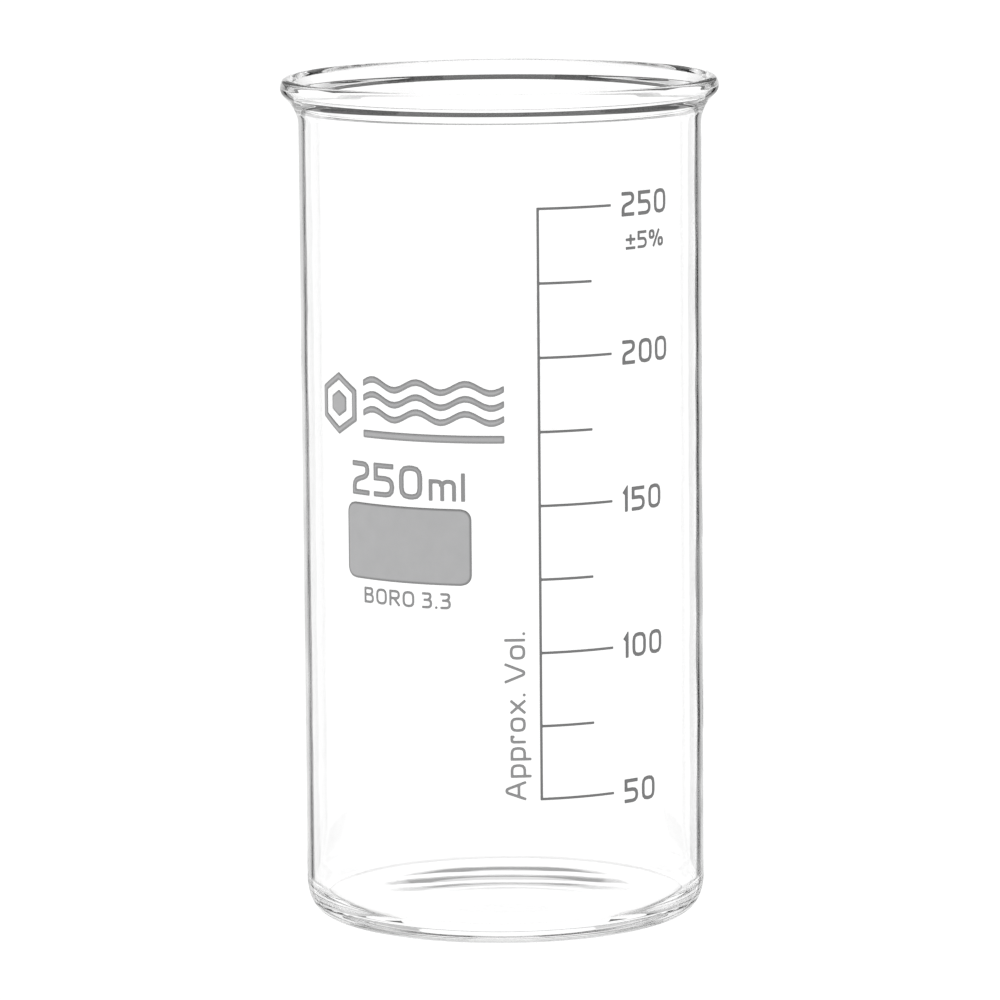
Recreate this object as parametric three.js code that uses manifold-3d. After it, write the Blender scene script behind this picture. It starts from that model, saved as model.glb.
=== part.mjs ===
// Tall-form laboratory beaker of 250 ml, without a spout.
// One vessel of borosilicate glass with a flared, beaded rim carries a grey enamel print:
// a volume scale, a marking patch, the capacity, the glass type and a plain emblem.
// Millimetres, +Z up. The origin is in the middle of the base, on the surface it stands on.
// The print faces -Y. Azimuths run from -Y towards +X, and arc lengths along the wall likewise.

import * as THREE from 'three';
import { mergeVertices } from 'three/addons/utils/BufferGeometryUtils.js';
import Module from 'manifold-3d';

const wasm = await Module();
wasm.setup();

// Vessel: wall
const height = 120;
const wallRadius = 28.7;
const wallThickness = 1.0;
const boreRadius = wallRadius - wallThickness;
const wallFacets = 72;

// Vessel: base
const floorHeight = 2.0;
const heelWidth = 2.5;
const heelHeight = 4.5;
const boreHeelWidth = 2.3;
const boreHeelHeight = 3.4;
const ringInnerRadius = 20.5;
const pushUp = 0.7;

// Vessel: rim. The wall flares at an even thickness and ends in a fire-polished bead.
const rimReach = 31.2;
const rimDepth = 1.3;
const underRadius = 1.8;
const tipRadius = 0.85;
const crestRadius = 0.9;
const neckAngle = THREE.MathUtils.degToRad(48);
const flareAngle = THREE.MathUtils.degToRad(17);

// Scale: 50 ml steps in the bore, counted from a printed zero just above the base
const millilitre = 1000;
const scaleStep = (50 * millilitre) / (Math.PI * boreRadius ** 2);
const scaleZero = 0.25;
const scaleSteps = 5;
const scaleArc = 5.15;
const longTick = 11.0;
const shortTick = 7.85;
const scaleStroke = 0.36;
const numeralArc = 18.0;
const numeralHeight = 3.3;

// Marking patch
const patchArc = -14.5;
const patchHeight = 56.7;
const patchSize = { along: 20.2, up: 10.8, corner: 1.5 };

// Emblem: a hexagon, three waves and a rule
const hexagonArc = -26.4;
const hexagonHeight = 75.7;
const hexagonRadius = 4.4;
const hexagonHole = 3.3;
const hexagonCore = 1.9;
const wave = { start: -21.3, length: 21.6, periods: 3, swing: 0.65, thickness: 0.95 };
const waveHeights = [79.0, 76.9, 74.8];
const rule = { start: -21.3, length: 21.6, height: 71.9, thickness: 1.1 };

// Enamel: a thin skin just clear of the wall's facets
const enamelGap = 0.03;
const enamelThickness = 0.08;
const enamelRadius = wallRadius + enamelGap;
const ribbonStep = 2.4;

const enamelColours = { scale: 0x74767a, label: 0x8f9194, patch: 0xaeb0b2, emblem: 0xa0a2a5 };

const enamel = (colour) => new THREE.MeshStandardMaterial({ color: colour, roughness: 0.55, metalness: 0 });

const glass = new THREE.MeshStandardMaterial({
  color: 0xeef4f3,
  roughness: 0.05,
  metalness: 0,
  transparent: true,
  opacity: 0.35,
});

const beaker = new THREE.Group();

function addPiece(name, geometry, material) {
  const piece = new THREE.Mesh(geometry, material);
  piece.name = name;
  beaker.add(piece);
  return piece;
}

// ---- Vessel ----

// Points of an elliptical arc in the (radius, height) plane, from one angle to another.
function arc(centreR, centreZ, radiusR, radiusZ, from, to, steps) {
  const points = [];
  for (let i = 0; i <= steps; i += 1) {
    const angle = from + ((to - from) * i) / steps;
    const r = centreR + radiusR * Math.cos(angle);
    points.push(new THREE.Vector2(r, centreZ + radiusZ * Math.sin(angle)));
  }
  return points;
}

// The hollow under the base rises smoothly from the standing ring to the middle.
function pushUpCurve(steps) {
  const points = [];
  for (let i = 0; i < steps; i += 1) {
    const r = (ringInnerRadius * i) / steps;
    const fall = 1 - (r / ringInnerRadius) ** 2;
    points.push(new THREE.Vector2(r, pushUp * fall ** 2));
  }
  return points;
}

// Neck, underside, tip, crest and flared bore, from the wall outside to the wall inside.
function rimCurve() {
  const rimZ = height - rimDepth;
  const underR = rimReach - underRadius;
  const neckEndR = underR + underRadius * Math.cos(neckAngle);
  const neckBend = (neckEndR - wallRadius) / (1 - Math.cos(neckAngle));
  const neckR = wallRadius + neckBend;
  const neckZ = rimZ - (underRadius + neckBend) * Math.sin(neckAngle);

  // Inside, the bore bends round the same centre and then runs straight up to the crest.
  const boreBend = neckBend + wallThickness;
  const flareEndR = neckR - boreBend * Math.cos(flareAngle);
  const flareEndZ = neckZ + boreBend * Math.sin(flareAngle);
  const crestZ = height - crestRadius;
  const flareRun = (crestZ - flareEndZ) * Math.tan(flareAngle);
  const crest = new THREE.Vector2(flareEndR + flareRun + crestRadius / Math.cos(flareAngle), crestZ);

  // Normal of the tangent that the tip and the crest share.
  const tip = new THREE.Vector2(rimReach - tipRadius, rimZ);
  const between = crest.clone().sub(tip);
  const shared = between.angle() - Math.acos((tipRadius - crestRadius) / between.length());

  return [
    ...arc(neckR, neckZ, neckBend, neckBend, Math.PI, Math.PI - neckAngle, 5),
    ...arc(underR, rimZ, underRadius, underRadius, -neckAngle, 0, 3).slice(1),
    ...arc(tip.x, tip.y, tipRadius, tipRadius, 0, shared, 1).slice(1),
    ...arc(crest.x, crest.y, crestRadius, crestRadius, shared, Math.PI - flareAngle, 6),
    ...arc(neckR, neckZ, boreBend, boreBend, Math.PI - flareAngle, Math.PI, 3),
  ];
}

function vesselGeometry() {
  const floorRadius = boreRadius - boreHeelWidth;
  const boreEnd = floorHeight + boreHeelHeight;
  const profile = [
    ...pushUpCurve(5),
    new THREE.Vector2(ringInnerRadius, 0),
    ...arc(wallRadius - heelWidth, heelHeight, heelWidth, heelHeight, -Math.PI / 2, 0, 5),
    ...rimCurve(),
    ...arc(floorRadius, boreEnd, boreHeelWidth, boreHeelHeight, 0, -Math.PI / 2, 5),
    new THREE.Vector2(0, floorHeight),
  ];
  const geometry = new THREE.LatheGeometry(profile, wallFacets);
  geometry.rotateX(Math.PI / 2);
  return geometry;
}

addPiece('glass_vessel', vesselGeometry(), glass);

// ---- Booleans ----

function toSolid(geometry) {
  const plain = geometry.clone();
  plain.deleteAttribute('normal');
  plain.deleteAttribute('uv');
  const merged = mergeVertices(plain, 1e-4);
  return new wasm.Manifold(
    new wasm.Mesh({
      numProp: 3,
      vertProperties: new Float32Array(merged.attributes.position.array),
      triVerts: new Uint32Array(merged.index.array),
    }),
  );
}

function joined(geometries) {
  if (geometries.length === 1) return geometries[0];
  const mesh = geometries.map(toSolid).reduce((whole, solid) => whole.add(solid)).getMesh();
  const geometry = new THREE.BufferGeometry();
  geometry.setAttribute('position', new THREE.Float32BufferAttribute(mesh.vertProperties, 3));
  geometry.setIndex(Array.from(mesh.triVerts));
  return geometry;
}

// ---- Enamel laid along the wall ----

// Arc lengths from start to end, no further apart than step.
function spaced(start, end, step) {
  const count = Math.ceil((end - start) / step);
  return Array.from({ length: count + 1 }, (_, i) => start + ((end - start) * i) / count);
}

// A point on the print: arc length and height, at a radius from the axis.
function onWall(radius, [along, z]) {
  const angle = along / wallRadius;
  return [radius * Math.sin(angle), -radius * Math.cos(angle), z];
}

// A skin of enamel between two lines of [arc length, height] points, with the upper line on the
// left of the lower one. Both lines have as many points. A closed skin is a ring.
function skinGeometry(lower, upper, closed = false) {
  const inner = enamelRadius;
  const outer = enamelRadius + enamelThickness;
  const sections = lower.map((low, i) => [
    onWall(inner, low),
    onWall(outer, low),
    onWall(outer, upper[i]),
    onWall(inner, upper[i]),
  ]);
  const count = sections.length;
  const last = (count - 1) * 4;
  const indices = closed ? [] : [0, 1, 2, 0, 2, 3, last, last + 2, last + 1, last, last + 3, last + 2];
  for (let section = 0; section < (closed ? count : count - 1); section += 1) {
    const next = (section + 1) % count;
    for (let side = 0; side < 4; side += 1) {
      const a = section * 4 + side;
      const b = section * 4 + ((side + 1) % 4);
      const c = next * 4 + ((side + 1) % 4);
      const d = next * 4 + side;
      indices.push(a, d, c, a, c, b);
    }
  }
  const geometry = new THREE.BufferGeometry();
  geometry.setAttribute('position', new THREE.Float32BufferAttribute(sections.flat(2), 3));
  geometry.setIndex(indices);
  return geometry;
}

// A ribbon through the arc lengths. edges(arc) gives its lower and upper height there.
function ribbonGeometry(arcs, edges) {
  const line = (side) => arcs.map((along) => [along, edges(along)[side]]);
  return skinGeometry(line(0), line(1));
}

function bandGeometry(start, end, low, high) {
  return ribbonGeometry(spaced(start, end, ribbonStep), () => [low, high]);
}

// ---- Volume scale ----

const scaleHeight = (steps) => scaleZero + steps * scaleStep;

// The line and each graduation share their first stretch of wall, so that they join cleanly.
function scaleGeometry() {
  const half = scaleStroke / 2;
  const lineArcs = [scaleArc - half, scaleArc + half];
  const line = ribbonGeometry(lineArcs, () => [scaleHeight(1) - half, scaleHeight(scaleSteps) + half]);
  const graduations = [];
  for (let steps = 1; steps <= scaleSteps; steps += 0.5) {
    const end = scaleArc + (Number.isInteger(steps) ? longTick : shortTick);
    const arcs = [lineArcs[0], ...spaced(lineArcs[1], end, ribbonStep)];
    graduations.push(ribbonGeometry(arcs, () => [scaleHeight(steps) - half, scaleHeight(steps) + half]));
  }
  return joined([line, ...graduations]);
}

addPiece('volume_scale', scaleGeometry(), enamel(enamelColours.scale));

// ---- Marking patch ----

function patchGeometry() {
  const { along, up, corner } = patchSize;
  const flat = along / 2 - corner;
  const cornerSteps = [1, 0.95, 0.8, 0.5, 0].map((part) => flat + corner * part);
  const middle = spaced(-flat, flat, ribbonStep).slice(1, -1);
  const arcs = [...cornerSteps.map((x) => -x), ...middle, ...cornerSteps.reverse()];
  return ribbonGeometry(
    arcs.map((x) => patchArc + x),
    (position) => {
      const beyond = Math.max(Math.abs(position - patchArc) - flat, 0);
      const half = up / 2 - corner + Math.sqrt(Math.max(corner ** 2 - beyond ** 2, 0));
      return [patchHeight - half, patchHeight + half];
    },
  );
}

addPiece('marking_patch', patchGeometry(), enamel(enamelColours.patch));

// ---- Emblem ----

// Corners and side middles of a hexagon that stands on a corner, anticlockwise on the print.
function hexagonOutline(radius) {
  const corners = Array.from({ length: 6 }, (_, i) => {
    const angle = Math.PI / 2 + (i * Math.PI) / 3;
    return [hexagonArc + radius * Math.cos(angle), hexagonHeight + radius * Math.sin(angle)];
  });
  return corners.flatMap((corner, i) => {
    const next = corners[(i + 1) % 6];
    return [corner, [(corner[0] + next[0]) / 2, (corner[1] + next[1]) / 2]];
  });
}

function hexagonCoreGeometry() {
  const flat = hexagonCore * Math.cos(Math.PI / 6);
  return ribbonGeometry(
    [-flat, 0, flat].map((x) => hexagonArc + x),
    (position) => {
      const half = hexagonCore - Math.abs(position - hexagonArc) * Math.tan(Math.PI / 6);
      return [hexagonHeight - half, hexagonHeight + half];
    },
  );
}

function ruleGeometry() {
  const half = rule.thickness / 2;
  return bandGeometry(rule.start, rule.start + rule.length, rule.height - half, rule.height + half);
}

function waveGeometry(z) {
  const { start, length, periods, swing, thickness } = wave;
  return ribbonGeometry(spaced(start, start + length, length / periods / 10), (position) => {
    const middle = z + swing * Math.sin((2 * Math.PI * periods * (position - start)) / length);
    return [middle - thickness / 2, middle + thickness / 2];
  });
}

const hexagonRing = skinGeometry(hexagonOutline(hexagonRadius), hexagonOutline(hexagonHole), true);
addPiece('emblem_hexagon', hexagonRing, enamel(enamelColours.emblem));
addPiece('emblem_core', hexagonCoreGeometry(), enamel(enamelColours.emblem));
waveHeights.forEach((z, i) => {
  addPiece(`emblem_wave_${i + 1}`, waveGeometry(z), enamel(enamelColours.emblem));
});
addPiece('emblem_rule', ruleGeometry(), enamel(enamelColours.emblem));

// ---- Lettering ----

// Shapes of the letters. width is a part of the cap height. Each solid is a list of strokes, and a
// stroke a list of corners [x, y, rounding] in which x and y are parts of the letter's box and
// rounding is the part of the box's width that the corner takes from both of its sides.
const open = (...corners) => ({ corners, closed: false });
const loop = (...corners) => ({ corners, closed: true });
const ringLetter = (top, rounding) =>
  loop([0, 0, rounding], [1, 0, rounding], [1, top, rounding], [0, top, rounding]);

const letters = {
  0: { width: 0.62, solids: [[ringLetter(1, 0.42)]] },
  1: { width: 0.1, solids: [[open([0, 0.86, 0], [1, 1, 0], [1, 0, 0])]] },
  2: {
    width: 0.54,
    solids: [[open([0, 1, 0], [1, 1, 0.5], [1, 0.6, 0.3], [0, 0.4, 0.4], [0, 0, 0], [1, 0, 0])]],
  },
  3: {
    width: 0.54,
    solids: [
      [
        open([0.2, 0.54, 0], [1, 0.54, 0.42], [1, 0, 0.45], [0, 0, 0]),
        open([0, 1, 0], [0.92, 1, 0.4], [0.92, 0.72, 0.1], [0.72, 0.6, 0]),
      ],
    ],
  },
  5: {
    width: 0.6,
    solids: [[open([0.96, 1, 0], [0, 1, 0], [0, 0.56, 0], [1, 0.56, 0.45], [1, 0, 0.45], [0, 0, 0])]],
  },
  A: {
    width: 0.8,
    solids: [
      [
        open([0, 0, 0], [0.4, 1, 0.1], [0.6, 1, 0.1], [1, 0, 0]),
        open([0.2, 0.33, 0], [0.8, 0.33, 0]),
      ],
    ],
  },
  B: {
    width: 0.64,
    solids: [
      [
        loop([0, 0, 0], [1, 0, 0.4], [1, 0.54, 0.38], [0, 0.54, 0]),
        open([0, 0.58, 0], [0, 1, 0], [0.92, 1, 0.4], [0.92, 0.72, 0.1], [0.72, 0.6, 0]),
      ],
    ],
  },
  O: { width: 0.69, solids: [[ringLetter(1, 0.42)]] },
  R: {
    width: 0.64,
    solids: [
      [
        loop([0, 0.48, 0], [1, 0.48, 0.4], [1, 1, 0.4], [0, 1, 0]),
        open([0, 0.44, 0], [0, 0, 0]),
        open([0.52, 0.4, 0], [1, 0, 0]),
      ],
    ],
  },
  V: { width: 0.84, solids: [[open([0, 1, 0], [0.42, 0, 0.12], [0.58, 0, 0.12], [1, 1, 0])]] },
  l: { width: 0, solids: [[open([0, 0, 0], [0, 1, 0])]] },
  m: {
    width: 0.88,
    solids: [
      [
        open([0, 0, 0], [0, 0.72, 0], [0.5, 0.72, 0.22], [0.5, 0, 0]),
        open([0.46, 0.56, 0], [0.62, 0.72, 0.1], [1, 0.72, 0.22], [1, 0, 0]),
      ],
    ],
  },
  o: { width: 0.57, solids: [[ringLetter(0.7, 0.4)]] },
  p: {
    width: 0.53,
    solids: [
      [
        loop([0, 0, 0], [1, 0, 0.45], [1, 0.7, 0.45], [0, 0.7, 0]),
        open([0, -0.02, 0], [0, -0.3, 0]),
      ],
    ],
  },
  r: { width: 0.26, solids: [[open([0, 0, 0], [0, 0.7, 0.4], [1, 0.7, 0], [1, 0.62, 0])]] },
  x: { width: 0.54, solids: [[open([0, 0, 0], [1, 0.7, 0]), open([0, 0.7, 0], [1, 0, 0])]] },
  '.': { width: 0, solids: [[{ dot: true }]] },
  '±': {
    width: 0.58,
    solids: [
      [open([0, 0.56, 0], [1, 0.56, 0]), open([0.5, 0.3, 0], [0.5, 0.82, 0])],
      [open([0, -0.02, 0], [1, -0.02, 0])],
    ],
  },
  '%': {
    width: 1.15,
    solids: [
      [loop([0, 0.54, 0.12], [0.3, 0.54, 0.12], [0.3, 1, 0.12], [0, 1, 0.12])],
      [open([0.3, 0, 0], [0.7, 1, 0])],
      [loop([0.7, 0, 0.12], [1, 0, 0.12], [1, 0.46, 0.12], [0.7, 0.46, 0.12])],
    ],
  },
};
const spaceWidth = 0.34;

// Corner points with rounded corners, as a run of plain points. A rounding takes at most half of
// the shorter side at its corner.
function roundedPoints(corners, closed) {
  const path = new THREE.Path();
  const count = corners.length;
  corners.forEach(({ point, rounding }, i) => {
    const before = corners[(i + count - 1) % count].point;
    const after = corners[(i + 1) % count].point;
    const reach = Math.min(rounding, point.distanceTo(before) / 2, point.distanceTo(after) / 2);
    const into = point.clone().add(before.clone().sub(point).setLength(reach));
    const out = point.clone().add(after.clone().sub(point).setLength(reach));
    if (i === 0) path.moveTo(into.x, into.y);
    else path.lineTo(into.x, into.y);
    if (reach > 0) path.quadraticCurveTo(point.x, point.y, out.x, out.y);
  });
  const points = path.getPoints(3);
  if (closed) points.push(points[0].clone());
  return points.filter((point, i) => i === 0 || point.distanceTo(points[i - 1]) > 1e-3);
}

// One side of a stroke: its points moved sideways, with mitred corners.
function offsetPoints(points, distance, closed) {
  const last = points.length - 1;
  const normals = [];
  for (let i = 0; i < last; i += 1) {
    const along = points[i + 1].clone().sub(points[i]).normalize();
    normals.push(new THREE.Vector2(-along.y, along.x));
  }
  const firstBefore = closed ? last - 1 : 0;
  const lastAfter = closed ? 0 : last - 1;
  return points.map((point, i) => {
    const before = normals[i > 0 ? i - 1 : firstBefore];
    const after = normals[i < last ? i : lastAfter];
    const mitre = before.clone().add(after).normalize();
    return point.clone().addScaledVector(mitre, distance / mitre.dot(before));
  });
}

// An open stroke has square ends, which reach half its thickness past its end points.
function withSquareEnds(points, thickness) {
  const beyond = (end, neighbour) => end.clone().add(end.clone().sub(neighbour).setLength(thickness / 2));
  const last = points.length - 1;
  return [beyond(points[0], points[1]), ...points.slice(1, last), beyond(points[last], points[last - 1])];
}

function strokeShape(centreLine, thickness, closed) {
  const points = closed ? centreLine : withSquareEnds(centreLine, thickness);
  const left = offsetPoints(points, thickness / 2, closed);
  const right = offsetPoints(points, -thickness / 2, closed);
  if (!closed) return new THREE.Shape([...right, ...left.reverse()]);
  const shape = new THREE.Shape(right.slice(1));
  shape.holes.push(new THREE.Path(left.slice(1).reverse()));
  return shape;
}

// The flat plate of one stroke. The letter's box has its middle at the origin.
function strokeGeometry({ corners, closed, dot }, boxWidth, boxHeight, thickness) {
  const plate = { depth: enamelThickness, bevelEnabled: false, curveSegments: 5 };
  if (dot) {
    const disc = new THREE.Shape();
    disc.absarc(0, -boxHeight / 2, thickness * 0.6, 0, 2 * Math.PI);
    return new THREE.ExtrudeGeometry(disc, plate);
  }
  const scaled = corners.map(([x, y, rounding]) => ({
    point: new THREE.Vector2((x - 0.5) * boxWidth, (y - 0.5) * boxHeight),
    rounding: rounding * boxWidth,
  }));
  return new THREE.ExtrudeGeometry(strokeShape(roundedPoints(scaled, closed), thickness, closed), plate);
}

// Lays a flat plate on the wall: its middle at an arc length and height, turned in its plane.
function layOnWall(piece, along, z, turn) {
  const angle = along / wallRadius;
  const tangent = new THREE.Vector3(Math.cos(angle), Math.sin(angle), 0);
  const outward = new THREE.Vector3(Math.sin(angle), -Math.cos(angle), 0);
  const up = new THREE.Vector3(0, 0, 1);
  const place = new THREE.Matrix4().makeBasis(tangent, up, outward);
  place.setPosition(outward.clone().multiplyScalar(enamelRadius).setZ(z));
  piece.applyMatrix4(place.multiply(new THREE.Matrix4().makeRotationZ(turn)));
}

// A line of print. start is the near edge of its first letter, and baseline the foot of its
// letters. A level line runs along the wall, and a climbing one goes up it, as the scale does.
function addText({ text, names, start, baseline, capHeight, thickness, gap, climbing = false, colour }) {
  const boxHeight = capHeight - thickness;
  let cursor = start;
  let placed = 0;
  for (const character of text) {
    if (character === ' ') {
      cursor += capHeight * spaceWidth;
      continue;
    }
    const { width, solids } = letters[character];
    const boxWidth = width * capHeight;
    const middle = cursor + (boxWidth + thickness) / 2;
    solids.forEach((strokes, i) => {
      const plates = strokes.map((stroke) => strokeGeometry(stroke, boxWidth, boxHeight, thickness));
      const name = solids.length > 1 ? `${names[placed]}_${i + 1}` : names[placed];
      const piece = addPiece(name, joined(plates), enamel(colour));
      if (climbing) layOnWall(piece, baseline - capHeight / 2, middle, Math.PI / 2);
      else layOnWall(piece, middle, baseline + capHeight / 2, 0);
    });
    cursor += boxWidth + thickness + gap;
    placed += 1;
  }
}

// The five numerals stand level with the long ticks.
for (let steps = 1; steps <= scaleSteps; steps += 1) {
  const numeral = String(steps * 50);
  addText({
    text: numeral,
    names: [...numeral].map((_, i) => `numeral_${numeral}_digit_${i + 1}`),
    start: numeralArc,
    baseline: scaleHeight(steps) - numeralHeight / 2,
    capHeight: numeralHeight,
    thickness: 0.4,
    gap: 0.82,
    colour: enamelColours.scale,
  });
}

addText({
  text: '±5%',
  names: ['tolerance_plus_minus', 'tolerance_digit', 'tolerance_percent'],
  start: numeralArc + 0.7,
  baseline: scaleHeight(scaleSteps) - 6.3,
  capHeight: 2.35,
  thickness: 0.3,
  gap: 0.5,
  colour: enamelColours.scale,
});

addText({
  text: 'Approx. Vol.',
  names: ['a', 'p_1', 'p_2', 'r', 'o_1', 'x', 'stop_1', 'v', 'o_2', 'l', 'stop_2'].map(
    (letter) => `caption_${letter}`,
  ),
  start: scaleHeight(1) - 0.05,
  baseline: 2.95,
  capHeight: 2.9,
  thickness: 0.34,
  gap: 0.56,
  climbing: true,
  colour: enamelColours.label,
});

addText({
  text: '250',
  names: ['capacity_digit_1', 'capacity_digit_2', 'capacity_digit_3'],
  start: -23.5,
  baseline: 63.2,
  capHeight: 4.7,
  thickness: 0.66,
  gap: 0.86,
  colour: enamelColours.label,
});

addText({
  text: 'ml',
  names: ['capacity_m', 'capacity_l'],
  start: -10.5,
  baseline: 63.2,
  capHeight: 3.9,
  thickness: 0.48,
  gap: 0.8,
  colour: enamelColours.label,
});

addText({
  text: 'BORO 3.3',
  names: ['b', 'o_1', 'r', 'o_2', 'digit_1', 'point', 'digit_2'].map((letter) => `glass_type_${letter}`),
  start: -21.4,
  baseline: 47.95,
  capHeight: 2.2,
  thickness: 0.28,
  gap: 0.5,
  colour: enamelColours.label,
});

export default beaker;
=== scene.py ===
"""Looks of a tall-form 250 ml laboratory beaker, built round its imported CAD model.

The vessel is one smooth lathed body of clear borosilicate glass. The grey print is enamel: each
deposit takes its outline from its CAD node, gets rounded edges as the kiln gives it, and lies on
the round wall. Metres, +Z up, the print facing -Y.
"""

import math

import bpy
import numpy as np
from mathutils import Matrix, Vector


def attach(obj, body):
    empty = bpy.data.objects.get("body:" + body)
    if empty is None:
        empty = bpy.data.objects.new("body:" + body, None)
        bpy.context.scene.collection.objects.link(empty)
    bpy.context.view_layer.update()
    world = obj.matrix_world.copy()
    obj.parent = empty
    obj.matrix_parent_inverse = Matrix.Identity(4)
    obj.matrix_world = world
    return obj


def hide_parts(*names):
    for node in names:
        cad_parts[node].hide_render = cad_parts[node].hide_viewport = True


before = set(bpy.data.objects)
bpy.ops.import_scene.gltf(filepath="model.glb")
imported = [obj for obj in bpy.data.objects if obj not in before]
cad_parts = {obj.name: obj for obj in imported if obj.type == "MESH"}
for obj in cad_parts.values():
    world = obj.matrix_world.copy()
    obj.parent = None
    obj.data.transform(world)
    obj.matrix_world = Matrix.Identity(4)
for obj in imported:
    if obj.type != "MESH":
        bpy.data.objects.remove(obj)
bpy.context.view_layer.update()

MM = 0.001

# Vessel, in millimetres, as the CAD model has it
HEIGHT = 120.0
WALL_RADIUS = 28.7
BORE_RADIUS = 27.7
FLOOR_HEIGHT = 2.0
HEEL = (2.5, 4.5)
BORE_HEEL = (2.3, 3.4)
RING_INNER_RADIUS = 20.5
PUSH_UP = 0.7
RIM_REACH, RIM_DEPTH = 31.2, 1.3
UNDER_RADIUS, TIP_RADIUS, CREST_RADIUS = 1.8, 0.85, 0.9
NECK_ANGLE, FLARE_ANGLE = math.radians(48), math.radians(17)
VESSEL_SEGMENTS = 288

# Enamel, in millimetres: how far its foot lies inside the wall, its thickness, the width over
# which its edge rises, and the width of its denser border
ENAMEL_FOOT = 0.012
ENAMEL_THICKNESS = 0.085
ENAMEL_EDGE = 0.07
BORDER_WIDTH, BORDER_FADE = 0.3, 0.12

# Enamel by material slot: grid cell and corner smoothing in millimetres, and its grey from 0 to
# 255 inside and at the edge
ENAMELS = {
    "scale_enamel": {"cell": 0.06, "smoothing": 0.05, "inside": 0x78, "edge": 0x70},
    "label_enamel": {"cell": 0.05, "smoothing": 0.06, "inside": 0xAA, "edge": 0x8C},
    "patch_enamel": {"cell": 0.11, "smoothing": 0.12, "inside": 0xAD, "edge": 0x84},
    "emblem_enamel": {"cell": 0.09, "smoothing": 0.09, "inside": 0xAC, "edge": 0x90},
}

# How far the paste spread past the drawn outline before it was fired, by the start of the name
SPREAD = {
    "numeral": 0.06,
    "tolerance": 0.05,
    "capacity": 0.05,
    "glass_type": 0.035,
    "caption": 0.02,
}

# Materials. Noise is given by its scale per metre, a relief by its height in metres.
GLASS_IOR = 1.473
GLASS_WAVES, WAVE_HEIGHT, WAVE_STRENGTH = 90.0, 0.00004, 1.0
ENAMEL_GRAINS, GRAIN_HEIGHT, GRAIN_STRENGTH = 5200.0, 0.00001, 0.25
ENAMEL_CLOUDS, CLOUD_STRENGTH = 420.0, 0.06
ENAMEL_ROUGHNESS = (0.42, 0.68)
BLUE_CAST = 1.01

# Camera: its distance from the axis, side step and height in millimetres, and how it is turned
CAMERA_DISTANCE, CAMERA_SIDE, CAMERA_HEIGHT = 898.0, -0.388, 195.7
CAMERA_PITCH, CAMERA_ROLL = math.radians(8.65), math.radians(0.466)
CAMERA_LENS, CAMERA_SENSOR = 227.95, 36.0

# Studio: the light all round, and the light from overhead above these elevations
STUDIO_LIGHT, OVERHEAD_LIGHT = 1.08, 0.6
OVERHEAD_START, OVERHEAD_END = math.radians(24), math.radians(36)
LIGHT_BOUNCES = 64

# Table and flags, in millimetres. A flag is an upright sheet: its name, its light level, the
# (x, y) places of its two ends, with the beaker at (0, 0), and its lower and upper edge.
TABLE_SIZE, TABLE_GAP = 6000.0, 0.02
FLAGS = [
    ("back_flag", 0.09, (-80, 290), (80, 290), 168, 215),
    ("left_wall_flag", 0.1, (-150, 274), (-180, 260), -260, 96),
    ("right_wall_flag", 0.0, (146, 276), (176, 263), -260, 96),
    ("left_grey_flag", 0.65, (-84, 294), (-150, 274), -260, 96),
    ("right_grey_flag", 0.52, (82, 295), (146, 276), -260, 96),
    ("left_upper_flag", 0.3, (-84, 290), (-193, 230), 132, 260),
    ("right_upper_flag", 0.3, (84, 290), (193, 230), 132, 260),
    ("left_low_flag", 0.12, (-180, 240), (-272, 127), -420, -70),
    ("right_low_flag", 0.12, (180, 240), (272, 127), -420, -70),
    ("left_rim_flag", 0.0, (-60, 85), (-105, -60), 165, 420),
    ("right_rim_flag", 0.0, (60, 85), (105, -60), 165, 420),
]


# ---- Materials ----


def linear(level):
    """The linear colour of a grey of 0 to 255."""
    share = level / 255
    return share / 12.92 if share <= 0.04045 else ((share + 0.055) / 1.055) ** 2.4


def new_material(name):
    material = bpy.data.materials.new(name)
    material.use_nodes = True
    return material, material.node_tree.nodes, material.node_tree.links


def noise(nodes, links, scale, detail):
    """Noise that is fixed to the piece."""
    place = nodes.new("ShaderNodeTexCoord")
    texture = nodes.new("ShaderNodeTexNoise")
    texture.inputs["Scale"].default_value = scale
    texture.inputs["Detail"].default_value = detail
    links.new(place.outputs["Object"], texture.inputs["Vector"])
    return texture.outputs["Fac"]


def relief(nodes, links, shader, height_map, height, strength):
    """Fine relief on a shader's surface."""
    bump = nodes.new("ShaderNodeBump")
    bump.inputs["Strength"].default_value = strength
    bump.inputs["Distance"].default_value = height
    links.new(height_map, bump.inputs["Height"])
    links.new(bump.outputs["Normal"], shader.inputs["Normal"])


def glass_material():
    """Clear borosilicate with the faint waviness of drawn tube."""
    material, nodes, links = new_material("clear_borosilicate")
    shader = nodes["Principled BSDF"]
    shader.inputs["Base Color"].default_value = (1.0, 1.0, 1.0, 1.0)
    shader.inputs["Roughness"].default_value = 0.0
    shader.inputs["IOR"].default_value = GLASS_IOR
    shader.inputs["Transmission Weight"].default_value = 1.0
    waves = noise(nodes, links, GLASS_WAVES, 1.0)
    relief(nodes, links, shader, waves, WAVE_HEIGHT, WAVE_STRENGTH)
    return material


def grey_mix(nodes, links, first, second, factor):
    """A mix of two greys, by a factor from 0 to 1."""
    mix = nodes.new("ShaderNodeMix")
    mix.data_type = "RGBA"
    mix.inputs["A"].default_value = (first, first, first * BLUE_CAST, 1.0)
    mix.inputs["B"].default_value = (second, second, second * BLUE_CAST, 1.0)
    links.new(factor, mix.inputs["Factor"])
    return mix.outputs["Result"]


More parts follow.
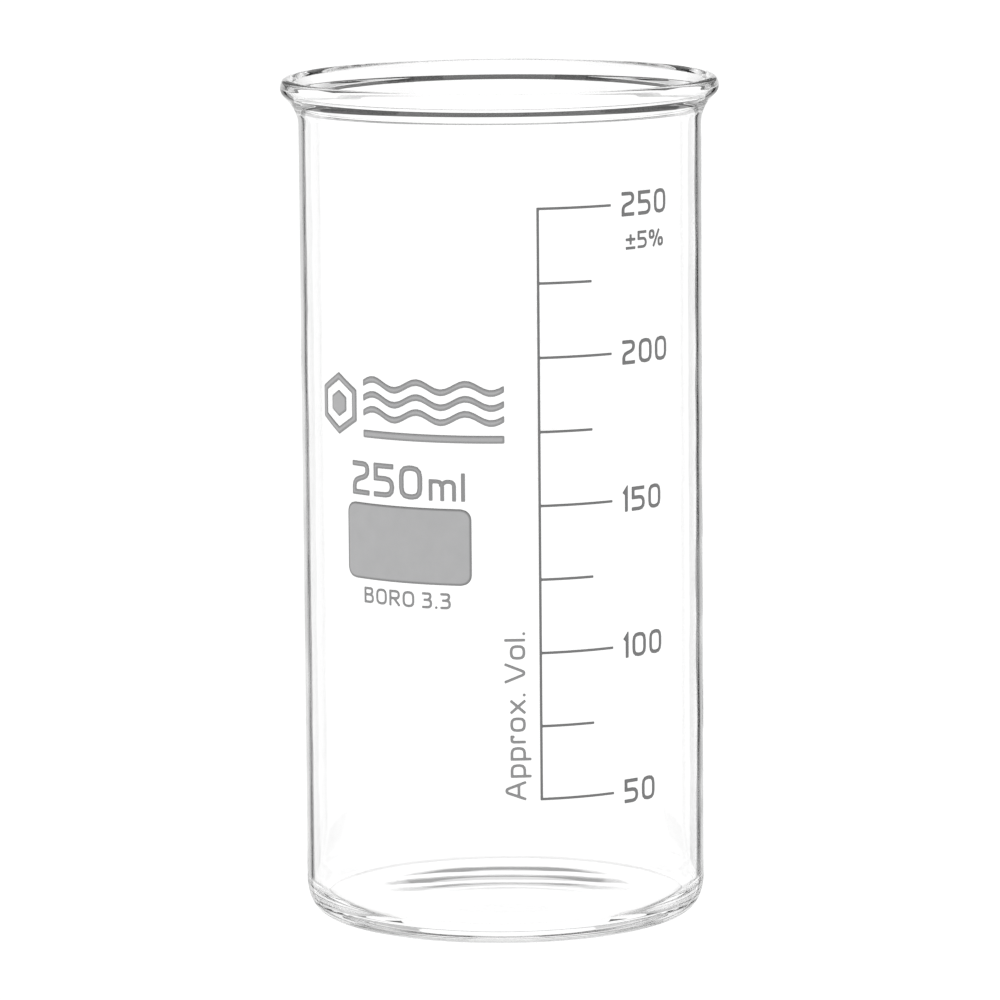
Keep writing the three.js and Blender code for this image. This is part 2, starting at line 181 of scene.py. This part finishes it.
def enamel_material(slot):
    """Fired screen print: fine grains, and a denser edge where the paste drew together."""
    inside, border = linear(ENAMELS[slot]["inside"]), linear(ENAMELS[slot]["edge"])
    material, nodes, links = new_material(slot)
    shader = nodes["Principled BSDF"]
    edge = nodes.new("ShaderNodeAttribute")
    edge.attribute_name = "edge"
    body = grey_mix(nodes, links, inside, border, edge.outputs["Fac"])

    tone = nodes.new("ShaderNodeMix")
    tone.data_type = "RGBA"
    tone.blend_type = "OVERLAY"
    tone.inputs["Factor"].default_value = CLOUD_STRENGTH
    links.new(body, tone.inputs["A"])
    links.new(noise(nodes, links, ENAMEL_CLOUDS, 2.0), tone.inputs["B"])
    links.new(tone.outputs["Result"], shader.inputs["Base Color"])

    grains = noise(nodes, links, ENAMEL_GRAINS, 3.0)
    rough = nodes.new("ShaderNodeMapRange")
    rough.inputs["To Min"].default_value, rough.inputs["To Max"].default_value = ENAMEL_ROUGHNESS
    links.new(grains, rough.inputs["Value"])
    links.new(rough.outputs["Result"], shader.inputs["Roughness"])
    relief(nodes, links, shader, grains, GRAIN_HEIGHT, GRAIN_STRENGTH)
    return material


# ---- Vessel ----


def arc(centre, radii, start, end, steps):
    """Points of an elliptical arc in the (radius, height) plane."""
    (r, z), (wide, high) = centre, radii
    angles = np.linspace(start, end, steps + 1)
    return [(r + wide * math.cos(a), z + high * math.sin(a)) for a in angles]


def between(start, end, steps):
    """Points of a straight line, without its ends."""
    (r0, z0), (r1, z1) = start, end
    shares = np.arange(1, steps) / steps
    return [(r0 + (r1 - r0) * t, z0 + (z1 - z0) * t) for t in shares]


def push_up_curve(steps):
    """The underside from the axis to the standing ring."""
    radii = [RING_INNER_RADIUS * i / steps for i in range(steps + 1)]
    return [(r, PUSH_UP * (1 - (r / RING_INNER_RADIUS) ** 2) ** 2) for r in radii]


def rim_curve():
    """Neck, underside, tip, crest and flared bore, the wall keeping its thickness to the bead."""
    under = (RIM_REACH - UNDER_RADIUS, HEIGHT - RIM_DEPTH)
    neck_reach = under[0] + UNDER_RADIUS * math.cos(NECK_ANGLE) - WALL_RADIUS
    bend = neck_reach / (1 - math.cos(NECK_ANGLE))
    centre = (WALL_RADIUS + bend, under[1] - (UNDER_RADIUS + bend) * math.sin(NECK_ANGLE))

    bore_bend = bend + WALL_RADIUS - BORE_RADIUS
    flare_way = Vector((-math.cos(FLARE_ANGLE), math.sin(FLARE_ANGLE)))
    flare_end = Vector(centre) + bore_bend * flare_way
    crest_z = HEIGHT - CREST_RADIUS
    run = (crest_z - flare_end.y) * math.tan(FLARE_ANGLE)
    crest = Vector((flare_end.x + run + CREST_RADIUS / math.cos(FLARE_ANGLE), crest_z))

    tip = Vector((RIM_REACH - TIP_RADIUS, under[1]))
    gap = crest - tip
    shared = math.atan2(gap.y, gap.x) - math.acos((TIP_RADIUS - CREST_RADIUS) / gap.length)

    neck = arc(centre, (bend, bend), math.pi, math.pi - NECK_ANGLE, 24)
    bead = arc(under, (UNDER_RADIUS, UNDER_RADIUS), -NECK_ANGLE, 0, 14)
    bead += arc(tip, (TIP_RADIUS, TIP_RADIUS), 0, shared, 4)[1:]
    top = arc(crest, (CREST_RADIUS, CREST_RADIUS), shared, math.pi - FLARE_ANGLE, 24)
    flare = arc(centre, (bore_bend, bore_bend), math.pi - FLARE_ANGLE, math.pi, 12)
    crown = [*between(bead[-1], top[0], 3), *top, *between(top[-1], flare[0], 6)]
    return [*neck, *bead[1:], *crown, *flare]


def vessel_profile():
    heel_centre = (WALL_RADIUS - HEEL[0], HEEL[1])
    bore_heel_centre = (BORE_RADIUS - BORE_HEEL[0], FLOOR_HEIGHT + BORE_HEEL[1])
    base = push_up_curve(20)
    heel = arc(heel_centre, HEEL, -math.pi / 2, 0, 28)
    rim = rim_curve()
    bore_heel = arc(bore_heel_centre, BORE_HEEL, 0, -math.pi / 2, 24)
    floor_centre = (0.0, FLOOR_HEIGHT)
    return [
        *base,
        *between(base[-1], heel[0], 4),
        *heel,
        *between(heel[-1], rim[0], 16),
        *rim,
        *between(rim[-1], bore_heel[0], 16),
        *bore_heel,
        *between(bore_heel[-1], floor_centre, 12),
        floor_centre,
    ]


def lathe(profile, segments):
    """Vertices and faces of a closed body. The profile starts and ends on the axis."""
    start, end = profile[0], profile[-1]
    rings = np.array(profile[1:-1])
    angles = np.arange(segments) * 2 * math.pi / segments
    x = rings[:, :1] * np.sin(angles)
    y = -rings[:, :1] * np.cos(angles)
    z = np.repeat(rings[:, 1:], segments, axis=1)
    vertices = np.stack([x, y, z], axis=-1).reshape(-1, 3).tolist()
    vertices += [(0.0, 0.0, start[1]), (0.0, 0.0, end[1])]
    first_pole, last_pole = len(vertices) - 2, len(vertices) - 1
    last_ring = (len(rings) - 1) * segments
    faces = []
    for j in range(segments):
        k = (j + 1) % segments
        faces.append((first_pole, k, j))
        faces.append((last_pole, last_ring + j, last_ring + k))
        for ring in range(0, last_ring, segments):
            faces.append((ring + j, ring + k, ring + segments + k, ring + segments + j))
    return vertices, faces


def new_piece(name, vertices, faces, material):
    mesh = bpy.data.meshes.new(name)
    mesh.from_pydata((np.array(vertices) * MM).tolist(), [], faces)
    mesh.shade_smooth()
    mesh.materials.append(material)
    piece = bpy.data.objects.new(name, mesh)
    bpy.context.scene.collection.objects.link(piece)
    return piece


def make_vessel():
    vertices, faces = lathe(vessel_profile(), VESSEL_SEGMENTS)
    vessel = new_piece("vessel_glass", vertices, faces, glass_material())
    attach(vessel, "root")
    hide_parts("glass_vessel")


# ---- Enamel ----


def print_outline(node):
    """Edges of a CAD deposit's outer face, unrolled: two arrays of [arc length, height] points."""
    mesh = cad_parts[node].data
    points = np.array([v.co for v in mesh.vertices]) / MM
    keys = np.round(points, 3)
    _, merged = np.unique(keys, axis=0, return_inverse=True)
    merged = merged.ravel()
    edges = {}
    for face in mesh.polygons:
        corner_ids = list(face.vertices)
        x, y = points[corner_ids].mean(axis=0)[:2]
        outward = (face.normal.x * x + face.normal.y * y) / math.hypot(x, y)
        if outward < 0.5:  # a side or the inner face
            continue
        for a, b in zip(corner_ids, corner_ids[1:] + corner_ids[:1]):
            key = frozenset((merged[a], merged[b]))
            edges[key] = None if key in edges else (a, b)
    ends = np.array([ab for ab in edges.values() if ab])
    arcs = np.arctan2(points[:, 0], -points[:, 1]) * WALL_RADIUS
    flat = np.column_stack([arcs, points[:, 2]])
    return flat[ends[:, 0]], flat[ends[:, 1]]


def signed_depth(points, starts, ends):
    """How far inside an outline each point lies, negative outside."""
    along = ends - starts
    length_squared = np.maximum((along**2).sum(axis=1), 1e-12)
    nearest = np.full(len(points), np.inf)
    crossings = np.zeros(len(points), int)
    for start, way, squared in zip(starts, along, length_squared):
        offset = points - start
        share = np.clip(offset @ way / squared, 0, 1)
        nearest = np.minimum(nearest, ((offset - share[:, None] * way) ** 2).sum(axis=1))
        end_y = start[1] + way[1]
        spans = (points[:, 1] >= start[1]) != (points[:, 1] >= end_y)
        if spans.any():
            crossing_x = start[0] + (points[:, 1] - start[1]) / (way[1] or 1) * way[0]
            crossings += spans & (crossing_x > points[:, 0])
    return np.sqrt(nearest) * np.where(crossings % 2 == 1, 1, -1)


def smoothed(field, sigma):
    """A field blurred over sigma cells, which rounds the corners of its outline."""
    reach = max(1, math.ceil(3 * sigma))
    offsets = np.arange(-reach, reach + 1)
    weights = np.exp(-0.5 * (offsets / sigma) ** 2)
    weights /= weights.sum()
    for axis in (0, 1):
        margins = [(reach, reach) if a == axis else (0, 0) for a in (0, 1)]
        padded = np.pad(field, margins, mode="edge")
        size = field.shape[axis]
        field = sum(w * np.take(padded, range(i, i + size), axis) for i, w in enumerate(weights))
    return field


def deposit_surface(node, cell, smoothing):
    """Grid points and quads inside the outline, with the outermost points moved on to it.

    Points up to about half a cell outside are kept, since they are moved inwards on to the outline.
    """
    starts, ends = print_outline(node)
    spread = sum(width for start, width in SPREAD.items() if node.startswith(start))
    low = np.minimum(starts.min(axis=0), ends.min(axis=0)) - 4 * cell
    high = np.maximum(starts.max(axis=0), ends.max(axis=0)) + 4 * cell
    columns = np.arange(low[0], high[0] + cell, cell)
    rows = np.arange(low[1], high[1] + cell, cell)
    grid = np.stack(np.meshgrid(columns, rows, indexing="ij"), axis=-1)
    depth = signed_depth(grid.reshape(-1, 2), starts, ends).reshape(grid.shape[:2])
    depth = smoothed(depth, smoothing / cell) + spread
    inside = depth > -0.55 * cell
    quads = inside[:-1, :-1] & inside[1:, :-1] & inside[1:, 1:] & inside[:-1, 1:]
    slope = np.stack(np.gradient(depth, cell), axis=-1)
    steepness = np.maximum((slope**2).sum(axis=-1), 0.2)

    used = np.zeros(inside.shape, bool)
    inner = np.ones(inside.shape, bool)
    around = np.pad(quads, 1)
    for du in (0, 1):
        for dv in (0, 1):
            touching = around[du : du + inside.shape[0], dv : dv + inside.shape[1]]
            used |= touching
            inner &= touching
    rim = used & ~inner
    moved = grid - (depth / steepness)[..., None] * slope
    grid = np.where(rim[..., None], moved, grid)
    return grid, np.where(rim, 0, np.maximum(depth, 0)), quads, used, rim


def make_deposit(node, slot, material):
    """One deposit of enamel, a closed lens whose foot lies just inside the glass."""
    form = ENAMELS[slot]
    grid, depth, quads, used, rim = deposit_surface(node, form["cell"], form["smoothing"])
    rise = np.sqrt(1 - (1 - np.minimum(depth / ENAMEL_EDGE, 1)) ** 2)
    foot_radius = WALL_RADIUS - ENAMEL_FOOT
    top_radius = foot_radius + ENAMEL_FOOT * 2 + (ENAMEL_THICKNESS - ENAMEL_FOOT) * rise

    top = np.full(used.shape, -1)
    top[used] = np.arange(used.sum())
    foot = np.where(rim, top, -1)
    below = used & ~rim
    foot[below] = used.sum() + np.arange(below.sum())

    def on_wall(mask, radius):
        angle = grid[mask][:, 0] / WALL_RADIUS
        radii = np.broadcast_to(radius, mask.shape)[mask]
        return np.column_stack([radii * np.sin(angle), -radii * np.cos(angle), grid[mask][:, 1]])

    vertices = np.vstack([on_wall(used, top_radius), on_wall(below, foot_radius)])
    i, j = np.nonzero(quads)
    corners = [(i, j), (i + 1, j), (i + 1, j + 1), (i, j + 1)]
    upper = np.column_stack([top[c] for c in corners])
    lower = np.column_stack([foot[c] for c in reversed(corners)])
    faces = np.vstack([upper, lower])
    piece = new_piece(node + "_print", vertices, faces.tolist(), material)

    edge = np.concatenate([depth[used], depth[below]])
    attribute = piece.data.attributes.new("edge", "FLOAT", "POINT")
    border = np.clip((BORDER_WIDTH - edge) / BORDER_FADE + 0.5, 0, 1)
    attribute.data.foreach_set("value", border.astype(np.float32))
    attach(piece, "root")
    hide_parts(node)


def slot_of(node):
    if node == "marking_patch":
        return "patch_enamel"
    if node.startswith("emblem"):
        return "emblem_enamel"
    if node.startswith(("volume_scale", "numeral", "tolerance")):
        return "scale_enamel"
    return "label_enamel"


def make_print():
    materials = {slot: enamel_material(slot) for slot in ENAMELS}
    for node in sorted(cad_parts):
        if node != "glass_vessel":
            slot = slot_of(node)
            make_deposit(node, slot, materials[slot])


# ---- Camera and light ----


def make_camera():
    data = bpy.data.cameras.new("camera")
    data.sensor_width = CAMERA_SENSOR
    data.lens = CAMERA_LENS
    data.clip_start, data.clip_end = 0.05, 50.0
    camera = bpy.data.objects.new("camera", data)
    place = Matrix.Translation(Vector((CAMERA_SIDE, -CAMERA_DISTANCE, CAMERA_HEIGHT)) * MM)
    pitch = Matrix.Rotation(math.pi / 2 - CAMERA_PITCH, 4, "X")
    camera.matrix_world = place @ pitch @ Matrix.Rotation(-CAMERA_ROLL, 4, "Z")
    bpy.context.scene.collection.objects.link(camera)
    bpy.context.scene.camera = camera
    return camera


def glowing(name, level):
    """An even glow, black at level zero."""
    material, nodes, links = new_material(name)
    nodes.remove(nodes["Principled BSDF"])
    light = nodes.new("ShaderNodeEmission")
    light.inputs["Strength"].default_value = level
    links.new(light.outputs["Emission"], nodes["Material Output"].inputs["Surface"])
    return material


def sheet(name, corners, material):
    """A flat sheet of the stage, with its corners in millimetres."""
    mesh = bpy.data.meshes.new(name)
    mesh.from_pydata([tuple(c * MM for c in corner) for corner in corners], [], [(0, 1, 2, 3)])
    mesh.materials.append(material)
    piece = bpy.data.objects.new(name, mesh)
    bpy.context.scene.collection.objects.link(piece)
    return piece


def make_table():
    """A white ground that only the camera and the enamel see."""
    size = TABLE_SIZE / 2
    sides = [(-size, -size), (size, -size), (size, size), (-size, size)]
    corners = [(x, y, -TABLE_GAP) for x, y in sides]
    table = sheet("white_table", corners, glowing("white_table", STUDIO_LIGHT))
    table.visible_shadow = table.visible_transmission = table.visible_glossy = False


def make_flags(camera):
    """Dark and grey flags that shape the reflections. They stay with the camera in every view."""
    for name, level, (x0, y0), (x1, y1), low, high in FLAGS:
        corners = [(x0, y0, low), (x1, y1, low), (x1, y1, high), (x0, y0, high)]
        flag = sheet(name, corners, glowing(name, level))
        flag.visible_camera = flag.visible_diffuse = flag.visible_shadow = False
        flag.parent = camera
        flag.matrix_parent_inverse = camera.matrix_world.inverted()


def make_world():
    """White all round, and softer light from overhead."""
    world = bpy.data.worlds.new("white_studio")
    world.use_nodes = True
    nodes, links = world.node_tree.nodes, world.node_tree.links
    direction = nodes.new("ShaderNodeTexCoord")
    parts = nodes.new("ShaderNodeSeparateXYZ")
    level = nodes.new("ShaderNodeMapRange")
    links.new(direction.outputs["Generated"], parts.inputs["Vector"])
    links.new(parts.outputs["Z"], level.inputs["Value"])
    level.inputs["From Min"].default_value = math.sin(OVERHEAD_START)
    level.inputs["From Max"].default_value = math.sin(OVERHEAD_END)
    level.inputs["To Min"].default_value = STUDIO_LIGHT
    level.inputs["To Max"].default_value = OVERHEAD_LIGHT
    background = nodes["Background"]
    background.inputs["Color"].default_value = (1.0, 1.0, 1.0, 1.0)
    links.new(level.outputs["Result"], background.inputs["Strength"])
    bpy.context.scene.world = world


def set_picture():
    """Plain tones, and long light paths for the many bounces inside the rim and the base."""
    scene = bpy.context.scene
    scene.view_settings.view_transform = "Standard"
    scene.cycles.max_bounces = LIGHT_BOUNCES
    scene.cycles.transmission_bounces = LIGHT_BOUNCES
    scene.cycles.glossy_bounces = LIGHT_BOUNCES


camera = make_camera()
make_vessel()
make_print()
make_table()
make_flags(camera)
make_world()
set_picture()
